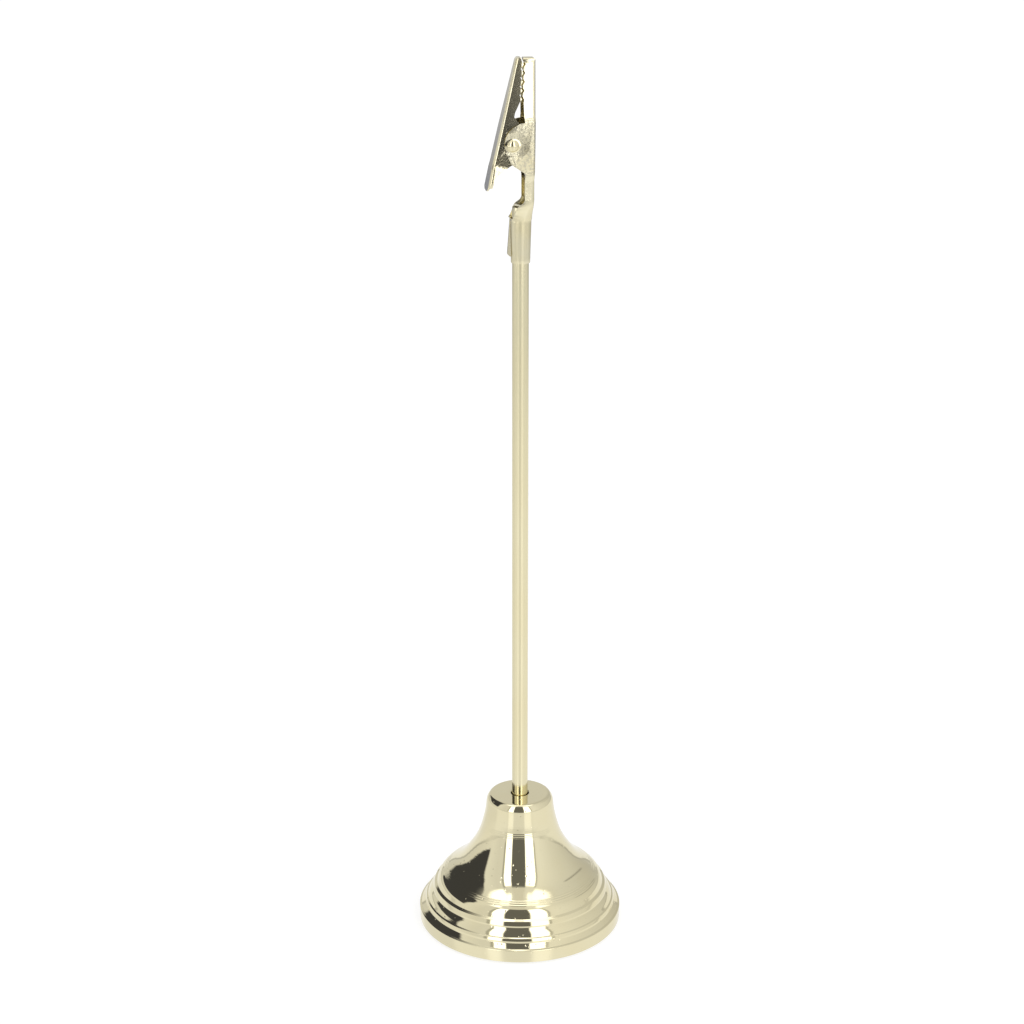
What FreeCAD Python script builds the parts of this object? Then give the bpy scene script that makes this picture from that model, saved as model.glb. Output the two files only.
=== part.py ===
import FreeCAD, Part
import math
import os
import Sketcher
from types import SimpleNamespace
from FreeCAD import Placement, Rotation, Vector

# Table number holder: a weighted bell base, a straight rod and a sprung alligator clip.
# Millimetres, +Z up.  The origin is the centre of the base on the table.  The clip's hinge
# pin lies along Y and its moving jaw is on the -X side.

doc = FreeCAD.newDocument("TableNumberHolder")

# ---------------------------------------------------------------- driving dimensions
CELLS = {
    # bell base, from the rim up
    "rim_radius": 26.0,
    "rim_bottom": 0.4,
    "rim_top": 3.6,
    "shell_gauge": 1.0,
    "rim_ledge_radius": 25.5,
    "rim_ledge_height": 3.85,
    "lower_wall_radius": 24.5,
    "lower_wall_height": 4.93,
    "lower_slope_radius": 24.46,
    "lower_slope_height": 5.41,
    "lower_edge_radius": 24.2,
    "lower_edge_height": 6.03,
    "lower_ledge_radius": 23.85,
    "lower_ledge_height": 6.22,
    "lower_round": 0.25,
    "upper_belly_radius": 23.27,
    "upper_belly_height": 7.33,
    "upper_wall_radius": 22.54,
    "upper_wall_height": 8.23,
    "upper_slope_radius": 22.51,
    "upper_slope_height": 8.63,
    "upper_edge_radius": 22.1,
    "upper_edge_height": 9.65,
    "upper_ledge_radius": 21.45,
    "upper_ledge_height": 10.05,
    "upper_round": 0.35,
    "bell_foot_radius": 20.75,
    "bell_foot_height": 11.85,
    "foot_round": 4.0,
    "neck_radius": 8.25,
    "neck_top_radius": 8.48,
    "neck_top_height": 33.06,
    "neck_round": 2.9,
    "crown_edge_radius": 7.68,
    "crown_edge_height": 34.61,
    "crown_round": 1.0,
    "crown_flat_radius": 6.97,
    "base_height": 34.9,
    "rod_hole_radius": 2.25,
    "rod_hole_dish": 0.35,
    # ballast and pad under the shell
    "pad_thickness": 1.2,
    "pad_radius": 24.6,
    "ballast_top": 11.0,
    "ballast_top_radius": 18.6,
    "ballast_wall_top": 3.0,
    "ballast_bore_radius": 2.15,
    "counterbore_radius": 5.0,
    "counterbore_top": 6.4,
    # rod and its M4 fasteners
    "rod_radius": 2.0,
    "rod_bottom": 1.5,
    "rod_top": 187.4,
    "rod_chamfer": 0.4,
    "nut_across_flats": 7.0,
    "nut_thickness": 3.2,
    "nut_countersink": 0.3,
    "washer_radius": 4.5,
    "washer_bore_radius": 2.15,
    "washer_thickness": 0.8,
    "lock_washer_radius": 3.8,
    "lock_washer_thickness": 0.9,
    "lock_washer_slit": 1.0,
    # sheet metal of the clip
    "clip_gauge": 0.4,
    "bend_radius": 0.8,
    "tip_height": 221.7,
    "nose_round": 0.9,
    "tooth_pitch": 1.96,
    "tooth_depth": 0.6,
    "tooth_gap": 0.5,
    # fixed jaw
    "barrel_bottom": 173.7,
    "barrel_top": 184.0,
    "barrel_radius": 2.3,
    "barrel_mouth_radius": 2.6,
    "fin_reach": 3.2,
    "fin_bottom": 175.2,
    "fin_chamfer": 0.6,
    "fin_seam": 0.12,
    "dimple_radius": 1.0,
    "dimple_depth": 0.3,
    "dimple_x": 0.5,
    "dimple_height": 182.7,
    "neck_bottom": 189.0,
    "neck_top": 193.4,
    "neck_face": 2.9,
    "neck_edge": 0.6,
    "neck_half_width": 3.1,
    "ear_bottom": 195.4,
    "ear_top": 207.2,
    "ear_arc_radius": 5.15,
    "ear_corner_reach": 2.6,
    "ear_corner_height": 197.5,
    "ear_half_width": 4.15,
    "throat_height": 208.6,
    "throat_half_width": 3.15,
    "throat_edge": 0.45,
    "nose_face": 3.3,
    "nose_half_width": 1.5,
    "first_tooth_height": 212.4,
    "tooth_line": 0.42,
    # hinge
    "pin_x": -2.3,
    "pin_height": 202.0,
    "pin_radius": 1.0,
    "pin_clearance": 0.05,
    "pin_head_radius": 1.35,
    "pin_head_height": 0.75,
    "pin_head_seat": 3.96,
    "ear_dish_curve": 18.0,
    "ear_dish_depth": 0.25,
    "ear_dish_reach": 1.4,
    # moving jaw, measured from the hinge pin with the jaw's back upright
    "jaw_lean": 13.2,
    "jaw_back": 3.5,
    "jaw_tip": 19.6,
    "jaw_tip_half_width": 1.6,
    "jaw_half_width": 3.03,
    "jaw_shoulder_half_width": 3.0,
    "jaw_shoulder": 4.0,
    "skirt_end": 5.0,
    "skirt_half_width": 3.5,
    "jaw_ear_radius": 2.6,
    "notch_edge": -1.9,
    "notch_height": 208.4,
    "tab_start": 8.0,
    "tab_end": 11.95,
    "tab_half_width": 3.75,
    "tab_flange": 1.15,
    # torsion spring
    "wire_radius": 0.35,
    "coil_radius": 1.8,
    "coil_pitch": 0.78,
    "coil_turns": 3.0,
    "spring_leg_fixed": 10.2,
    "spring_leg_moving": 8.5,
    "spring_play": 0.12,
}


class Size:
    """A dimension: its value in millimetres and the sheet expression that gives it."""

    def __init__(self, value, text):
        self.value = value
        self.text = text

    def __add__(self, other):
        other = as_size(other)
        return Size(self.value + other.value, f"({self.text} + {other.text})")

    def __sub__(self, other):
        other = as_size(other)
        return Size(self.value - other.value, f"({self.text} - {other.text})")

    def __rsub__(self, other):
        return as_size(other) - self

    def __mul__(self, factor):
        return Size(self.value * factor, f"({self.text} * {factor:.6f})")

    def __neg__(self):
        return self * -1


def as_size(amount):
    """A plain number as a Size, and a Size as itself."""
    if isinstance(amount, Size):
        return amount
    return Size(float(amount), f"({amount:.6f})")


def fill_sheet():
    """Write the cells and return them as Size values, by name."""
    sheet = doc.addObject("Spreadsheet::Sheet", "Sizes")
    named = {}
    for row, (alias, value) in enumerate(CELLS.items(), start=1):
        sheet.set(f"A{row}", alias)
        sheet.set(f"B{row}", str(value))
        sheet.setAlias(f"B{row}", alias)
        named[alias] = Size(value, f"Sizes.{alias}")
    doc.recompute()
    return SimpleNamespace(**named)


S = fill_sheet()


# ---------------------------------------------------------------- drawing helpers
def bind(thing, **sizes):
    """Bind properties such as Radius=S.pin_radius to the sheet."""
    for name, amount in sizes.items():
        thing.setExpression(name.replace("__", "."), as_size(amount).text)
    return thing


def new_body(name):
    """A PartDesign body whose label names its file."""
    body = doc.addObject("PartDesign::Body", name)
    body.Label = name
    return body


def origin_plane(body, role):
    """The body's own origin plane with this role."""
    return next(item for item in body.Origin.OriginFeatures if item.Role == role)


def body_sketch(body, name, role="XZ_Plane"):
    """A sketch on one of the body's own origin planes."""
    sketch = body.newObject("Sketcher::SketchObject", name)
    sketch.AttachmentSupport = (origin_plane(body, role), [""])
    sketch.MapMode = "FlatFace"
    return sketch


def free_sketch(name, rotation=None):
    """A sketch in the document, flat unless a rotation is given."""
    sketch = doc.addObject("Sketcher::SketchObject", name)
    sketch.Placement = Placement(Vector(), rotation or Rotation())
    return sketch


UPRIGHT_XZ = Rotation(Vector(1, 0, 0), 90)
UPRIGHT_YZ = Rotation(Vector(1, 1, 1), 120)


def arc_between(start, end, radius):
    """The minor arc from start to end; a positive radius turns left, a negative one right."""
    chord = end - start
    half = chord.Length / 2
    rise = math.sqrt(max(radius * radius - half * half, 0.0))
    left = Vector(-chord.y, chord.x, 0).normalize()
    centre = (start + end) * 0.5 + left * (rise if radius > 0 else -rise)
    first, last = (start, end) if radius > 0 else (end, start)
    begin = math.atan2(first.y - centre.y, first.x - centre.x)
    finish = math.atan2(last.y - centre.y, last.x - centre.x)
    circle = Part.Circle(centre, Vector(0, 0, 1), abs(radius))
    return Part.ArcOfCircle(circle, begin, finish)


def draw(sketch, outline):
    """Draw a closed outline with every corner bound to the sheet.

    Each step is (x, y), or (x, y, radius) for an arc that arrives there, or (x, y, [points])
    for a smooth curve that arrives there through those points.
    """
    corners = [(as_size(step[0]), as_size(step[1])) for step in outline]
    spots = [Vector(x.value, y.value, 0) for x, y in corners]
    ends = []
    for number, step in enumerate(outline):
        start, end = spots[number - 1], spots[number]
        shape = step[2] if len(step) > 2 else None
        first, last = 1, 2
        if shape is None:
            index = sketch.addGeometry(Part.LineSegment(start, end))
        elif isinstance(shape, list):
            curve = Part.BSplineCurve()
            curve.interpolate([start, *shape, end])
            index = sketch.addGeometry(curve)
        else:
            radius = as_size(shape)
            index = sketch.addGeometry(arc_between(start, end, radius.value))
            if radius.value < 0:
                first, last = 2, 1
            size = sketch.addConstraint(Sketcher.Constraint("Radius", index, abs(radius.value)))
            sketch.setExpression(f"Constraints[{size}]", f"abs({radius.text})")
        ends.append((index, first, last))
    for number, (x, y) in enumerate(corners):
        index, _, last = ends[number]
        following, first, _ = ends[(number + 1) % len(ends)]
        sketch.addConstraint(Sketcher.Constraint("Coincident", index, last, following, first))
        across = sketch.addConstraint(Sketcher.Constraint("DistanceX", index, last, x.value))
        sketch.setExpression(f"Constraints[{across}]", x.text)
        along = sketch.addConstraint(Sketcher.Constraint("DistanceY", index, last, y.value))
        sketch.setExpression(f"Constraints[{along}]", y.text)
    return sketch


def draw_circle(sketch, radius, x=0.0, y=0.0):
    """A full circle about a bound centre."""
    x, y = as_size(x), as_size(y)
    circle = Part.Circle(Vector(x.value, y.value, 0), Vector(0, 0, 1), radius.value)
    index = sketch.addGeometry(circle)
    size = sketch.addConstraint(Sketcher.Constraint("Radius", index, radius.value))
    sketch.setExpression(f"Constraints[{size}]", radius.text)
    across = sketch.addConstraint(Sketcher.Constraint("DistanceX", index, 3, x.value))
    sketch.setExpression(f"Constraints[{across}]", x.text)
    along = sketch.addConstraint(Sketcher.Constraint("DistanceY", index, 3, y.value))
    sketch.setExpression(f"Constraints[{along}]", y.text)
    return sketch


def revolve(body, sketch, name):
    """Turn a closed section once round the sketch's vertical axis."""
    turned = body.newObject("PartDesign::Revolution", name)
    turned.Profile = sketch
    turned.ReferenceAxis = (sketch, ["V_Axis"])
    turned.Angle = 360
    sketch.Visibility = False
    return turned


def pad(body, sketch, name, length):
    """Pad a sketch upwards by a bound length."""
    padded = body.newObject("PartDesign::Pad", name)
    padded.Profile = sketch
    return bind(padded, Length=length)


def prism(name, sketch, width):
    """A sketch pushed out evenly to both sides of its own plane."""
    solid = doc.addObject("Part::Extrusion", name)
    solid.Base = sketch
    solid.DirMode = "Normal"
    solid.Symmetric = True
    solid.Solid = True
    return bind(solid, LengthFwd=width)


def subtract(name, base, tool):
    """Base without tool."""
    solid = doc.addObject("Part::Cut", name)
    solid.Base = base
    solid.Tool = tool
    return solid


def intersect(name, shapes):
    """What all the shapes share."""
    solid = doc.addObject("Part::MultiCommon", name)
    solid.Shapes = shapes
    return solid


def join(name, shapes):
    """All the shapes as one solid."""
    solid = doc.addObject("Part::MultiFuse", name)
    solid.Shapes = shapes
    solid.Refine = True
    return solid


def cylinder(name, radius, height, x=0.0, y=0.0, z=0.0):
    """An upright cylinder standing at a bound place."""
    solid = doc.addObject("Part::Cylinder", name)
    bind(solid, Radius=radius, Height=height)
    return bind(solid, Placement__Base__x=x, Placement__Base__y=y, Placement__Base__z=z)


def ring_edges(shape, wanted):
    """Names of the circular edges for which wanted(radius, z) is true."""
    names = []
    for number, edge in enumerate(shape.Edges, start=1):
        curve = edge.Curve
        if isinstance(curve, Part.Circle) and wanted(curve.Radius, curve.Center.z):
            names.append(f"Edge{number}")
    return names


# ---------------------------------------------------------------- base
def flare_points():
    """Points of the bell's concave flare between its foot and its neck, outside face."""
    rise = S.base_height.value - S.bell_foot_height.value
    spread = S.bell_foot_radius.value - S.neck_radius.value
    shares = [(0.815, 0.08), (0.64, 0.155), (0.405, 0.305), (0.215, 0.48), (0.105, 0.655), (0.03, 0.87)]
    foot = S.bell_foot_height.value
    neck = S.neck_radius.value
    return [Vector(neck + spread * out, foot + rise * up, 0) for out, up in shares]


def inset(points, gap):
    """The same points moved inwards, square to the line that they follow."""
    curve = Part.BSplineCurve()
    curve.interpolate(points)
    moved = []
    for point in points:
        along = curve.tangent(curve.parameter(point))[0]
        moved.append(point + Vector(-along.y, along.x, 0).normalize() * gap)
    return moved


def rounded_rings(body, turned, name, corners, radius):
    """Fillets the circular edges of the turned shape that lie on the (radius, height) corners."""
    doc.recompute()
    hair = 0.01
    places = [(across.value, up.value) for across, up in corners]
    edges = ring_edges(turned.Shape, lambda across, up: any(
        abs(across - x) < hair and abs(up - z) < hair for x, z in places))
    rounding = body.newObject("PartDesign::Fillet", name)
    rounding.Base = (turned, edges)
    return bind(rounding, Radius=radius)


def base_shell():
    """The spun bell: a flat crown with the rod's hole, a concave flare, two steps and a rim."""
    body = new_body("base_shell")
    sketch = body_sketch(body, "shell_section")
    outside = flare_points()
    gauge = S.shell_gauge
    foot = (S.bell_foot_radius, S.bell_foot_height)
    neck = (S.neck_top_radius, S.neck_top_height)
    ends = [Vector(across.value, up.value, 0) for across, up in (foot, neck)]
    inside = inset([ends[0], *outside, ends[1]], gauge.value)[1:-1]
    upper_edge = (S.upper_edge_radius, S.upper_edge_height)
    lower_edge = (S.lower_edge_radius, S.lower_edge_height)
    draw(sketch, [
        (S.rod_hole_radius, S.base_height - gauge),
        (S.rod_hole_radius, S.base_height - S.rod_hole_dish),
        (S.rod_hole_radius + S.rod_hole_dish, S.base_height, -S.rod_hole_dish),
        (S.crown_flat_radius, S.base_height),
        (S.crown_edge_radius, S.crown_edge_height, -S.crown_round),
        (*neck, -S.neck_round),
        (*foot, outside[::-1]),
        (S.upper_ledge_radius, S.upper_ledge_height),
        upper_edge,
        (S.upper_slope_radius, S.upper_slope_height),
        (S.upper_wall_radius, S.upper_wall_height),
        (S.upper_belly_radius, S.upper_belly_height),
        (S.lower_ledge_radius, S.lower_ledge_height),
        lower_edge,
        (S.lower_slope_radius, S.lower_slope_height),
        (S.lower_wall_radius, S.lower_wall_height),
        (S.rim_ledge_radius, S.rim_ledge_height),
        (S.rim_radius, S.rim_top),
        (S.rim_radius, S.rim_bottom),
        (S.rim_radius - gauge, S.rim_bottom),
        (S.rim_radius - gauge, S.rim_top - 0.6),
        (S.bell_foot_radius - gauge * 0.75, S.bell_foot_height - gauge * 0.85),
        (S.neck_radius - gauge, S.base_height - gauge - S.crown_round, inside),
        (S.crown_flat_radius, S.base_height - gauge),
    ])
    turned = revolve(body, sketch, "shell_turned")
    footed = rounded_rings(body, turned, "foot_rounding", [foot], S.foot_round)
    upper = rounded_rings(body, footed, "upper_rounding", [upper_edge], S.upper_round)
    return rounded_rings(body, upper, "lower_rounding", [lower_edge], S.lower_round)


def ballast():
    """Cast weight that fills the lower bell, bored for the rod and its lower nut."""
    body = new_body("ballast")
    sketch = body_sketch(body, "ballast_section")
    wall = S.rim_radius - S.shell_gauge
    draw(sketch, [
        (S.counterbore_radius, S.pad_thickness),
        (wall, S.pad_thickness),
        (wall, S.ballast_wall_top - 0.2),
        (S.ballast_top_radius, S.ballast_top - 0.6),
        (S.ballast_top_radius - 0.6, S.ballast_top, 0.6),
        (S.ballast_bore_radius, S.ballast_top),
        (S.ballast_bore_radius, S.counterbore_top),
        (S.counterbore_radius, S.counterbore_top),
    ])
    return revolve(body, sketch, "ballast_turned")


def base_pad():
    """Thin foam disc under the base; it stands a little proud of the rim."""
    return cylinder("base_pad", S.pad_radius, S.pad_thickness)


# ---------------------------------------------------------------- rod and fasteners
def rod():
    """The plain rod with chamfered ends."""
    body = new_body("rod")
    sketch = body_sketch(body, "rod_section")
    draw(sketch, [
        (0.0, S.rod_bottom),
        (S.rod_radius - S.rod_chamfer, S.rod_bottom),
        (S.rod_radius, S.rod_bottom + S.rod_chamfer),
        (S.rod_radius, S.rod_top - S.rod_chamfer),
        (S.rod_radius - S.rod_chamfer, S.rod_top),
        (0.0, S.rod_top),
    ])
    return revolve(body, sketch, "rod_turned")


def hex_nut(name, bottom):
    """A hexagon nut standing at a height, countersunk at both faces."""
    body = new_body(name)
    sketch = body_sketch(body, f"{name}_section", "XY_Plane")
    corner = S.nut_across_flats * (1 / math.sqrt(3))
    turns = [math.radians(60 * number) for number in range(6)]
    draw(sketch, [(corner * math.cos(turn), corner * math.sin(turn)) for turn in turns])
    draw_circle(sketch, S.rod_radius)
    block = pad(body, sketch, f"{name}_block", S.nut_thickness)
    doc.recompute()
    countersink = body.newObject("PartDesign::Chamfer", f"{name}_countersink")
    countersink.Base = (block, ring_edges(block.Shape, lambda radius, z: True))
    bind(countersink, Size=S.nut_countersink)
    return bind(body, Placement__Base__z=bottom)


def washer(name, bottom):
    """A flat washer standing at a height."""
    body = new_body(name)
    sketch = body_sketch(body, f"{name}_section", "XY_Plane")
    draw_circle(sketch, S.washer_radius)
    draw_circle(sketch, S.washer_bore_radius)
    pad(body, sketch, f"{name}_plate", S.washer_thickness)
    return bind(body, Placement__Base__z=bottom)


def lock_washer(bottom):
    """A split spring washer standing at a height."""
    disc = cylinder("lock_washer_disc", S.lock_washer_radius, S.lock_washer_thickness, z=bottom)
    bore = cylinder("lock_washer_bore", S.washer_bore_radius, S.lock_washer_thickness, z=bottom)
    slit = doc.addObject("Part::Box", "lock_washer_slot")
    bind(slit, Length=S.lock_washer_radius * 1.2, Width=S.lock_washer_slit, Height=S.lock_washer_thickness)
    bind(slit, Placement__Base__y=S.lock_washer_slit * -0.5, Placement__Base__z=bottom)
    return subtract("lock_washer", subtract("lock_washer_ring", disc, bore), slit)


def fasteners():
    """Nuts and washers that clamp the rod to the ballast from both sides."""
    washer("upper_washer", S.ballast_top)
    hex_nut("upper_nut", S.ballast_top + S.washer_thickness)
    washer("lower_washer", S.counterbore_top - S.washer_thickness)
    split = S.counterbore_top - S.washer_thickness - S.lock_washer_thickness
    lock_washer(split)
    hex_nut("lower_nut", split - S.nut_thickness)


# ---------------------------------------------------------------- clip sheet metal
FAR = 9.0
FIXED_SPLAY = 3.0
MOVING_SPLAY = 5.5
TAB_SPLAY = -1.5


def channel_station(name, height, face, half_width, bend, splay, open_side):
    """A section across a sheet channel: its back at face, its walls splayed by the angle to -X."""
    sketch = free_sketch(name)
    bind(sketch, Placement__Base__z=height)
    slant = math.radians(splay)
    wall_x = face - bend + bend * math.sin(slant)
    wall_y = half_width - bend + bend * math.cos(slant)
    open_y = wall_y + (wall_x - open_side) * math.tan(slant)
    return draw(sketch, [
        (wall_x, -wall_y),
        (face, bend - half_width, bend),
        (face, half_width - bend),
        (wall_x, wall_y, bend),
        (open_side, open_y),
        (open_side, -open_y),
    ])


def channel_solid(name, stations, open_side):
    """A solid lofted straight from station to station."""
    sections = []
    for number, station in enumerate(stations):
        sections.append(channel_station(f"{name}_{number}", *station, open_side))
    solid = doc.addObject("Part::Loft", name)
    solid.Sections = sections
    solid.Solid = True
    solid.Ruled = True
    return solid


def eased(start, end, count=4):
    """Stations strictly between two, whose width and back ease in and out like drawn metal."""
    between = []
    for number in range(1, count):
        share = number / count
        weight = share * share * (3 - 2 * share)
        height = start[0] + (end[0] - start[0]) * share
        rest = [first + (last - first) * weight for first, last in zip(start[1:], end[1:])]
        between.append((height, *rest))
    return between


def sheet_channel(name, stations, closed_end):
    """A channel of sheet: the lofted outside less the same form one gauge smaller."""
    gauge = S.clip_gauge
    outside = channel_solid(f"{name}_outside", stations, as_size(-FAR))
    smaller = []
    for height, face, half_width, bend, splay in stations:
        smaller.append((height, face - gauge, half_width - gauge, bend - gauge, splay))
    top = smaller[-1]
    smaller[-1] = (top[0] - gauge if closed_end else top[0] + gauge, *top[1:])
    bottom = smaller[0]
    smaller[0] = (bottom[0] - gauge * 0.01, *bottom[1:])
    inside = channel_solid(f"{name}_inside", smaller, as_size(-FAR) - gauge)
    return subtract(f"{name}_channel", outside, inside)


TOOTH_COUNT = 5
TOOTH_SLOPE = 0.065
PRISM_WIDTH = 12.0


def teeth(line):
    """Zigzag corners of a toothed edge from the first tooth up, on a line that leans to +X."""
    corners = []
    for number in range(2 * TOOTH_COUNT):
        up = S.tooth_pitch * (number / 2)
        across = line + up * TOOTH_SLOPE
        if number % 2:
            across = across - S.tooth_depth
        corners.append((across, S.first_tooth_height + up))
    return corners


def across_hinge(name, radius, half_length, x, z):
    """A cylinder along Y, centred on the clip's middle plane."""
    solid = doc.addObject("Part::Cylinder", name)
    solid.Placement = Placement(Vector(), UPRIGHT_XZ)
    bind(solid, Radius=radius, Height=half_length * 2)
    return bind(solid, Placement__Base__x=x, Placement__Base__y=half_length, Placement__Base__z=z)


def fixed_jaw_outline():
    """Side view of the fixed jaw's sheet: back, nose, teeth, ear, neck and shoulder."""
    outer = as_size(5.0)
    barrel_side = S.barrel_mouth_radius - 0.1
    shoulder = [Vector(0.1, S.neck_bottom.value - 0.9, 0),
                Vector(-0.95, S.neck_bottom.value - 1.65, 0),
                Vector(-1.6, S.neck_bottom.value - 2.95, 0)]
    return [
        (outer, S.barrel_top - 0.5),
        (outer, S.tip_height - 3.0),
        (S.nose_face, S.tip_height - S.nose_round),
        (S.nose_face - S.nose_round, S.tip_height, S.nose_round),
        (S.tooth_line, S.tip_height),
        *teeth(S.tooth_line)[::-1],
        (S.throat_edge - 0.15, S.first_tooth_height - 0.8),
        (S.throat_edge, S.ear_top),
        (S.pin_x - 1.5, S.pin_height - 2.1, S.ear_arc_radius),
        (-S.ear_corner_reach, S.ear_corner_height),
        (S.neck_edge, S.ear_bottom),
        (S.neck_edge, S.neck_bottom),
        (-barrel_side, S.barrel_top + 0.3, shoulder),
        (-barrel_side, S.barrel_top - 0.5),
    ]


def cone(name, low_radius, high_radius, height, bottom):
    """An upright cone on the rod's axis."""
    solid = doc.addObject("Part::Cone", name)
    bind(solid, Radius1=low_radius, Radius2=high_radius, Height=height)
    return bind(solid, Placement__Base__z=bottom)


def crimp_barrel():
    """The tube crimped on the rod, with the pinched fin where its edges meet."""
    mouth = S.barrel_top + 0.3
    height = mouth - S.barrel_bottom
    tube = cone("barrel_tube", S.barrel_radius, S.barrel_mouth_radius, height, S.barrel_bottom)
    sketch = free_sketch("fin_side", UPRIGHT_XZ)
    draw(sketch, [
        (-S.barrel_radius + 0.1, S.fin_bottom),
        (-S.barrel_radius + 0.1, mouth),
        (-S.barrel_mouth_radius, mouth),
        (-S.fin_reach, S.fin_bottom + S.fin_chamfer),
        (S.fin_chamfer - S.fin_reach, S.fin_bottom),
    ])
    return [tube, prism("fin", sketch, S.clip_gauge * 2)]


def barrel_bore():
    """The bore grips the rod low down and opens a little towards the mouth."""
    height = S.barrel_top + 2.0 - S.barrel_bottom
    grip = cylinder("bore_grip", S.rod_radius, height, z=S.barrel_bottom - 0.5)
    flare = cone("bore_flare", S.rod_radius, S.barrel_mouth_radius - 0.3, 6.5, S.barrel_top - 6.0)
    return [grip, flare]


def fixed_nose_front():
    """Front view that rounds the two corners of the fixed jaw's nose."""
    wide = as_size(PRISM_WIDTH * 0.5)
    half, top, corner = S.nose_half_width, S.tip_height, S.nose_round
    return draw(free_sketch("fixed_front", UPRIGHT_YZ), [
        (wide, S.barrel_bottom),
        (wide, top - 5.0),
        (half, top - corner),
        (half - corner, top, corner),
        (corner - half, top),
        (-half, top - corner, corner),
        (-wide, top - 5.0),
        (-wide, S.barrel_bottom),
    ])


def ear_dishes():
    """Shallow round-ended hollows pressed round the rivet, open to the ears' front edges."""
    curve = S.ear_dish_curve
    length = as_size(FAR) - S.ear_dish_reach
    tools = []
    for side, word in ((1, "left"), (-1, "right")):
        middle = (S.ear_half_width + curve - S.ear_dish_depth) * side
        trough = doc.addObject("Part::Cylinder", f"{word}_dish_trough")
        trough.Placement = Placement(Vector(), Rotation(Vector(0, 1, 0), 90))
        bind(trough, Radius=curve, Height=length)
        bind(trough, Placement__Base__x=as_size(-FAR), Placement__Base__y=middle)
        end = doc.addObject("Part::Sphere", f"{word}_dish_end")
        bind(end, Radius=curve)
        bind(end, Placement__Base__x=-S.ear_dish_reach, Placement__Base__y=middle)
        for tool in (trough, end):
            tools.append(bind(tool, Placement__Base__z=S.pin_height))
    return tools


def dimples():
    """A small punched dimple on each side, where the neck runs into the barrel."""
    tools = []
    for side, word in ((1, "left"), (-1, "right")):
        tool = doc.addObject("Part::Sphere", f"{word}_dimple")
        out = (S.barrel_mouth_radius + S.dimple_radius - S.dimple_depth) * side
        bind(tool, Radius=S.dimple_radius)
        bind(tool, Placement__Base__x=S.dimple_x, Placement__Base__y=out)
        tools.append(bind(tool, Placement__Base__z=S.dimple_height))
    return tools


def fixed_jaw():
    """One stamping: toothed nose, ears for the hinge, channel neck and crimped barrel."""
    bend = S.bend_radius
    mouth = S.barrel_mouth_radius
    barrel_mouth = (S.barrel_top, mouth + 0.05, mouth, mouth - 0.2, 0.0)
    neck_low = (S.neck_bottom, S.neck_face, S.neck_half_width, bend, 0.0)
    neck_high = (S.neck_top, S.neck_face, S.neck_half_width, bend, 0.0)
    ear_low = (S.ear_bottom, S.neck_face, S.ear_half_width, bend, 0.0)
    ear_high = (S.ear_top, S.neck_face + 0.15, S.ear_half_width, bend, 0.0)
    throat = (S.throat_height, S.neck_face + 0.2, S.throat_half_width, bend, FIXED_SPLAY)
    nose = (S.tip_height, S.nose_face, S.nose_half_width, bend, FIXED_SPLAY)
    stations = [
        barrel_mouth, *eased(barrel_mouth, neck_low, 5), neck_low,
        neck_high, *eased(neck_high, ear_low), ear_low,
        ear_high, *eased(ear_high, throat), throat, nose,
    ]
    channel = sheet_channel("fixed", stations, True)
    side = draw(free_sketch("fixed_side", UPRIGHT_XZ), fixed_jaw_outline())
    solids = [channel, prism("fixed_side_solid", side, as_size(PRISM_WIDTH)),
              prism("fixed_front_solid", fixed_nose_front(), as_size(PRISM_WIDTH))]
    blank = join("fixed_blank", [intersect("fixed_upper", solids), *crimp_barrel()])
    seam = doc.addObject("Part::Box", "fin_seam_gap")
    bind(seam, Length=S.fin_reach, Width=S.fin_seam, Height=S.barrel_top + 1.0 - S.barrel_bottom)
    bind(seam, Placement__Base__x=-S.fin_reach - 0.2, Placement__Base__y=S.fin_seam * -0.5)
    bind(seam, Placement__Base__z=S.barrel_bottom - 0.5)
    hole = across_hinge("fixed_pin_hole", S.pin_radius, S.ear_half_width + 1.0, S.pin_x, S.pin_height)
    openings = join("fixed_openings", [*barrel_bore(), seam, hole, *ear_dishes(), *dimples()])
    return subtract("fixed_jaw", blank, openings)


def from_pin(x, z):
    """A place on the moving jaw, given where it is when the clip is shut.

    The jaw is drawn with its back upright at +X, so the result is mirrored across the pin.
    """
    lean = math.radians(S.jaw_lean.value)
    across, up = x - S.pin_x, z - S.pin_height
    return up * math.sin(lean) - across * math.cos(lean), across * math.sin(lean) + up * math.cos(lean)


def moving_jaw_outline():
    """Side view of the moving jaw's sheet: back, nose, teeth, notch, ear and thumb tab."""
    outer = as_size(6.0)
    ear_high, ear_low = math.radians(120), math.radians(208)
    ear = S.jaw_ear_radius
    flange = S.jaw_back - S.tab_flange
    shut_teeth = [from_pin(x, z) for x, z in teeth(S.tooth_line - S.tooth_gap)]
    return [
        (outer, -S.tab_end),
        (outer, S.jaw_tip - 3.0),
        (S.jaw_back, S.jaw_tip - S.nose_round),
        (S.jaw_back - S.nose_round, S.jaw_tip, S.nose_round),
        (S.jaw_back - 1.2, S.jaw_tip),
        *shut_teeth[::-1],
        from_pin(S.notch_edge + 1.3, S.notch_height + 3.3),
        from_pin(S.notch_edge + 0.2, S.notch_height + 1.0),
        from_pin(S.notch_edge, S.notch_height),
        from_pin(S.notch_edge + 1.15, S.notch_height - 1.6),
        (ear * math.cos(ear_high), ear * math.sin(ear_high)),
        (ear * math.cos(ear_low), ear * math.sin(ear_low), ear),
        (-0.85, -(S.tab_start - 3.4)),
        (flange - 0.2, -S.tab_start),
        (flange, -(S.tab_start + 1.1)),
        (flange, -S.tab_end),
    ]


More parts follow.
